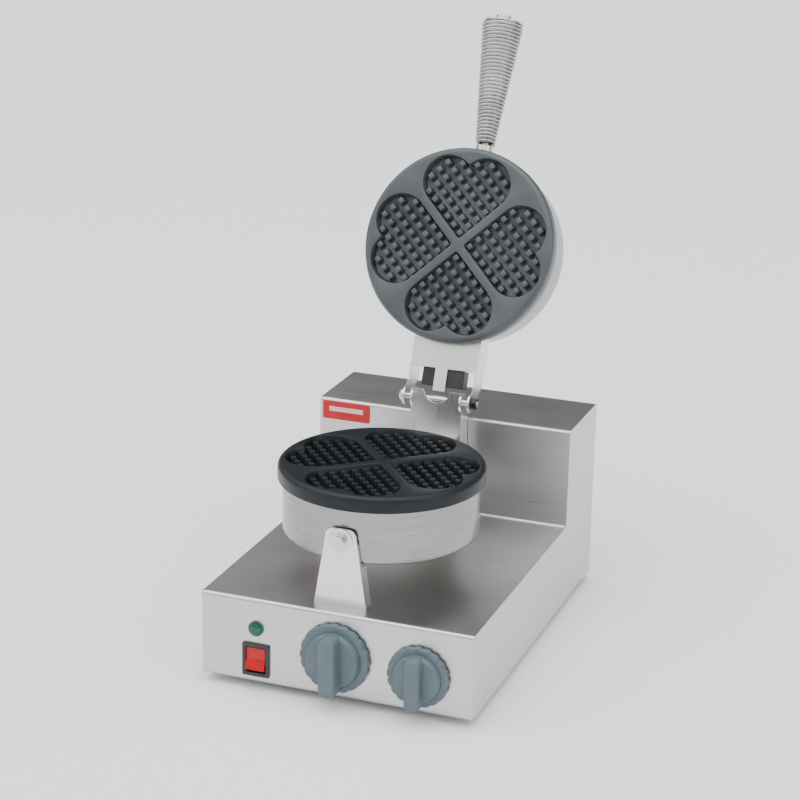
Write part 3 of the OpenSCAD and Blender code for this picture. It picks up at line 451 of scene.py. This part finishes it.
def addTo(shape, other, place=None, keep=False):
    mesh = bpy.data.meshes.new("part")
    other.to_mesh(mesh)
    if place is not None:
        mesh.transform(place)
    shape.from_mesh(mesh)
    bpy.data.meshes.remove(mesh)
    if not keep:
        other.free()


castPlate("lowerCastPlate", "lower_plate", lowerPlace, 44 * mm, plateLook["lowerTurn"])
castPlate("upperCastPlate", "upper_plate", upperPlace, 41 * mm)
print("cast plates made")


panLook = {
    "r": 87.5 * mm, "wall": 1 * mm, "corner": 4 * mm, "lip": 0.35 * mm, "lowerH": 49 * mm, "upperH": 46 * mm,
}


def pan(name, nodeName, place, height, finish):
    look = panLook
    shape = spunShape([
        (0, -height, 0), (look["r"], -height, look["corner"]), (look["r"], 0, look["lip"]),
        (look["r"] - look["wall"], 0, look["lip"]),
        (look["r"] - look["wall"], -height + look["wall"], look["corner"] - look["wall"]),
        (0, -height + look["wall"], 0)], steps=160)
    if place.determinant() < 0:
        bmesh.ops.reverse_faces(shape, faces=shape.faces)
    under = place @ Matrix.Translation((0, 0, -plateLook["rim"]))
    return finishPiece(name, shape, [finish], [nodeName], under)


pan("lowerPanShell", "lower_pan", lowerPlace, panLook["lowerH"], steelRound)
pan("upperPanShell", "upper_pan", upperPlace, panLook["upperH"], upperRound)
print("pans made")


gripLook = {
    "rise": 39 * mm, "socket": 13 * mm, "wire": 3.6 * mm, "pitch": 0.94 * 3.6 * mm, "length": 122 * mm,
    "startD": 19 * mm, "endD": 40 * mm, "steps": 40, "wireSides": 12,
}


def wireGrip():
    look = gripLook
    turns = math.floor((look["length"] - look["wire"]) / look["pitch"])
    startR, endR = (look["startD"] - look["wire"]) / 2, (look["endD"] - look["wire"]) / 2
    coil = bmesh.new()
    bmesh.ops.create_circle(coil, cap_ends=True, segments=look["wireSides"], radius=look["wire"] / 2)
    bmesh.ops.rotate(coil, verts=coil.verts, cent=(0, 0, 0), matrix=Matrix.Rotation(quarter, 3, "X"))
    bmesh.ops.translate(coil, verts=coil.verts, vec=(startR, 0, 0))
    steps = turns * look["steps"]
    bmesh.ops.spin(coil, geom=list(coil.verts) + list(coil.edges) + list(coil.faces), cent=(0, 0, 0),
                   axis=(0, 0, 1), dvec=(0, 0, look["pitch"] / look["steps"]),
                   angle=2 * math.pi * turns, steps=steps)
    length = look["pitch"] * turns
    for vert in coil.verts:  # widen the coil into a cone without thickening its wire
        flat = Vector((vert.co.x, vert.co.y, 0))
        share = min(1, max(0, vert.co.z / length))
        vert.co += flat.normalized() * (endR - startR) * share
    closeMesh(coil)
    place = (lidPlace @ Matrix.Translation((0, -panLook["r"], look["rise"])) @ Matrix.Rotation(quarter, 4, "X")
             @ Matrix.Translation((0, 0, look["socket"] + look["wire"] / 2)))
    finishPiece("wireGrip", coil, [wireSteel], ["handle_coil"], place, smoothUpTo=60)


wireGrip()
print("handle made")


knobLook = {
    "stand": 1 * mm, "skirt": 5 * mm, "capShare": 0.39, "capH": 6 * mm, "barShare": 0.25, "barDown": 0.46,
    "barRound": 0.3, "barTaper": (0.9, 0.97, 1),
    "scallops": 20, "scallopDepth": 1.0 * mm,
}


def knob(name, nodeName, joint, diameter, length):
    look = knobLook
    r, capR = diameter / 2, look["capShare"] * diameter
    barW, barUp, barDown = look["barShare"] * diameter, look["capShare"] * diameter, look["barDown"] * diameter
    skirt = spunShape([(0, 0, 0), (r, 0, 0.5 * mm), (r - 0.6 * mm, look["skirt"], 1.2 * mm),
                       (capR, look["skirt"] + 0.2 * mm, 0)], steps=240)
    for vert in skirt.verts:
        radius = math.hypot(vert.co.x, vert.co.y)
        if radius > capR + 2 * mm:
            wave = math.cos(look["scallops"] * math.atan2(vert.co.y, vert.co.x))
            dip = look["scallopDepth"] * max(0, -wave) ** 0.7 * min(1, (radius - capR - 2 * mm) / (2 * mm))
            vert.co.x *= 1 - dip / radius
            vert.co.y *= 1 - dip / radius
    shape = bmesh.new()
    addTo(shape, skirt)
    addTo(shape, spunShape([
        (capR - 0.2 * mm, look["skirt"] - 1 * mm, 0), (capR, look["skirt"] + 1.2 * mm, 0.6 * mm),
        (capR - 1.5 * mm, look["skirt"] + look["capH"], 1.4 * mm),
        (0, look["skirt"] + look["capH"] + 0.5 * mm, 0)], steps=120))
    bar = bmesh.new()
    bmesh.ops.create_cube(bar, size=1)
    bmesh.ops.scale(bar, verts=bar.verts, vec=(barW, barUp + barDown, length - look["skirt"]))
    bmesh.ops.translate(bar, verts=bar.verts, vec=(0, (barUp - barDown) / 2, (length + look["skirt"]) / 2))
    upright = [e for e in bar.edges if abs(e.verts[0].co.z - e.verts[1].co.z) > mm]
    bmesh.ops.bevel(bar, geom=upright, offset=barW * look["barRound"], segments=6, profile=0.5,
                    affect="EDGES", material=-1)
    top = [v for v in bar.verts if v.co.z > look["skirt"] + 1 * mm]
    barMiddle = Matrix.Translation((0, -(barUp - barDown) / 2, 0))
    bmesh.ops.scale(bar, verts=top, vec=look["barTaper"], space=barMiddle)
    crown = [e for e in bar.edges if min(v.co.z for v in e.verts) > look["skirt"] + 1 * mm]
    bmesh.ops.bevel(bar, geom=crown, offset=1.4 * mm, segments=4, profile=0.5, affect="EDGES", material=-1)
    addTo(shape, bar)
    place = (Matrix.Translation(joint) @ Matrix.Rotation(quarter, 4, "X")
             @ Matrix.Translation((0, 0, look["stand"])))
    return finishPiece(name, shape, [knobPlastic], [nodeName], place, smoothUpTo=38)


for name, nodeName, jointName in [("thermostatKnob", "thermostat_knob", "thermostat_turn"),
                                  ("timerKnob", "timer_knob", "timer_turn")]:
    low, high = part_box(nodeName)
    knob(name, nodeName, Vector(joints[jointName]["pos_m"]), high.x - low.x, high.y - low.y)
print("knobs made")


softEdges = {
    "housing_shell": 0.25, "side_panel_left": 0.3, "side_panel_right": 0.3, "rear_cover": 0.25,
    "bottom_plate": 0.2, "front_bracket": 0.9, "hinge_post": 0.6, "pan_strap": 0.4, "lid_bracket": 0.5,
    "lead_box": 0.8, "handle_socket": 0.4, "handle_nut": 0.5, "front_washer": 0.3,
    "front_bolt": 0.35, "hinge_pin": 0.4, "hinge_pin_nut": 0.4, "front_nut": 0.4, "switch_housing": 0.4,
    "switch_rocker": 0.6, "cable_gland": 0.4, "gland_nut": 0.4, "rubber_feet": 0.5,
}
for nodeName, radius in softEdges.items():
    softenedNode(nodeName, radius * mm)
print("sheet metal and hardware softened")

labelLook = {"corner": 1.6 * mm, "bandWide": 0.72, "bandHigh": 0.26, "bandUp": 0.08, "bandProud": 0.15 * mm}


# red enamel plate with one plain pale band
def label():
    look = labelLook
    low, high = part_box("label_plate")
    size, centre = high - low, (low + high) / 2
    shape = bmesh.new()
    bmesh.ops.create_cube(shape, size=1)
    bmesh.ops.scale(shape, verts=shape.verts, vec=size)
    thin = min(range(3), key=lambda axis: size[axis])
    corners = [e for e in shape.edges
               if abs(e.verts[0].co[thin] - e.verts[1].co[thin]) > size[thin] / 2]
    bmesh.ops.bevel(shape, geom=corners, offset=look["corner"], segments=5, profile=0.5,
                    affect="EDGES", material=-1)
    band = bmesh.new()
    bmesh.ops.create_cube(band, size=1)
    bmesh.ops.scale(band, verts=band.verts, vec=(size.x * look["bandWide"], look["bandProud"],
                                                 size.z * look["bandHigh"]))
    bmesh.ops.translate(band, verts=band.verts, vec=(0, -size.y / 2 - look["bandProud"] / 2 + 0.02 * mm,
                                                     size.z * look["bandUp"]))
    for face in band.faces:
        face.material_index = 1
    addTo(shape, band)
    finishPiece("labelPlate", shape, [labelRed, labelPale], ["label_plate"], Matrix.Translation(centre))


label()
print("label made")


def softLight(name, size, power, at, towards, colour=(1, 1, 1)):
    data = bpy.data.lights.new(name, "AREA")
    data.shape, data.size, data.size_y = "RECTANGLE", *size
    data.energy, data.color = power, colour
    lamp = bpy.data.objects.new(name, data)
    lamp.location = at
    lamp.rotation_euler = (Vector(towards) - Vector(at)).to_track_quat("-Z", "Y").to_euler()
    bpy.context.scene.collection.objects.link(lamp)


studio = {
    "floor": (0.93, 0.93, 0.93), "air": (0.98, 0.985, 1.0), "horizon": 0.3, "overhead": 3.3, "rise": 1.3,
    "behind": 0.16, "floorHalf": 60,
}

floorShape = bmesh.new()
bmesh.ops.create_grid(floorShape, x_segments=1, y_segments=1, size=studio["floorHalf"])
floorMesh = bpy.data.meshes.new("floor")
floorShape.to_mesh(floorMesh)
floorShape.free()
floor = bpy.data.objects.new("floor", floorMesh)
bpy.context.scene.collection.objects.link(floor)
floorMat, floorTree, floorShader = startMaterial("paleFloor")
floorShader.inputs["Base Color"].default_value = (*studio["floor"], 1)
floorShader.inputs["Roughness"].default_value = 0.9
floorMesh.materials.append(floorMat)

# the air is brightest overhead and dims low down and towards the back
world = bpy.data.worlds.new("studioAir")
world.use_nodes = True
airTree = world.node_tree
airTree.nodes["Background"].inputs["Color"].default_value = (*studio["air"], 1)
airWay = airTree.nodes.new("ShaderNodeTexCoord")
airParts = airTree.nodes.new("ShaderNodeSeparateXYZ")
airTree.links.new(airWay.outputs["Generated"], airParts.inputs["Vector"])
airRise = airTree.nodes.new("ShaderNodeMath")
airRise.operation = "POWER"
airRise.inputs[1].default_value = studio["rise"]
airUp = airTree.nodes.new("ShaderNodeMath")
airUp.operation = "MAXIMUM"
airUp.inputs[1].default_value = 0
airTree.links.new(airParts.outputs["Z"], airUp.inputs[0])
airTree.links.new(airUp.outputs["Value"], airRise.inputs[0])
airDim = airTree.nodes.new("ShaderNodeMath")
airDim.operation = "MULTIPLY"
airTree.links.new(remap(airTree, airRise.outputs["Value"], studio["horizon"], studio["overhead"], 0, 1),
                  airDim.inputs[0])
airTree.links.new(remap(airTree, airParts.outputs["Y"], 1, studio["behind"], 0.1, 0.8), airDim.inputs[1])
airTree.links.new(airDim.outputs["Value"], airTree.nodes["Background"].inputs["Strength"])
bpy.context.scene.world = world

middle = (cadBox[0] + cadBox[1]) / 2
softLight("topSoftbox", (1.6, 1.2), 5, (-0.3, -0.5, 1.9), middle)
softLight("leftSoftbox", (1.2, 1.4), 6, (-1.9, -1.2, 1.0), middle)
softLight("rightSoftbox", (1.0, 1.4), 5, (1.8, -0.5, 0.9), middle)

cameraLook = {
    "fromBase": (0.65690, -1.80849, 0.87302), "forward": (-0.32804, 0.88867, -0.32040),
    "roll": 1.10, "lens": 101.4,
}
forward = Vector(cameraLook["forward"]).normalized()
right = forward.cross(Vector((0, 0, 1))).normalized()
up = right.cross(forward)
roll = math.radians(cameraLook["roll"])
rolledRight = right * math.cos(roll) + up * math.sin(roll)
rolledUp = up * math.cos(roll) - right * math.sin(roll)
baseLow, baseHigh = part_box("bottom_plate")
standsAt = Vector((0, (baseLow.y + baseHigh.y) / 2, 0)) + Vector(cameraLook["fromBase"])
cameraData = bpy.data.cameras.new("camera")
cameraData.lens = cameraLook["lens"]
cameraData.sensor_width = 36
camera = bpy.data.objects.new("camera", cameraData)
camera.matrix_world = Matrix((
    (rolledRight.x, rolledUp.x, -forward.x, standsAt.x),
    (rolledRight.y, rolledUp.y, -forward.y, standsAt.y),
    (rolledRight.z, rolledUp.z, -forward.z, standsAt.z), (0, 0, 0, 1)))
bpy.context.scene.collection.objects.link(camera)
bpy.context.scene.camera = camera
print("studio set")
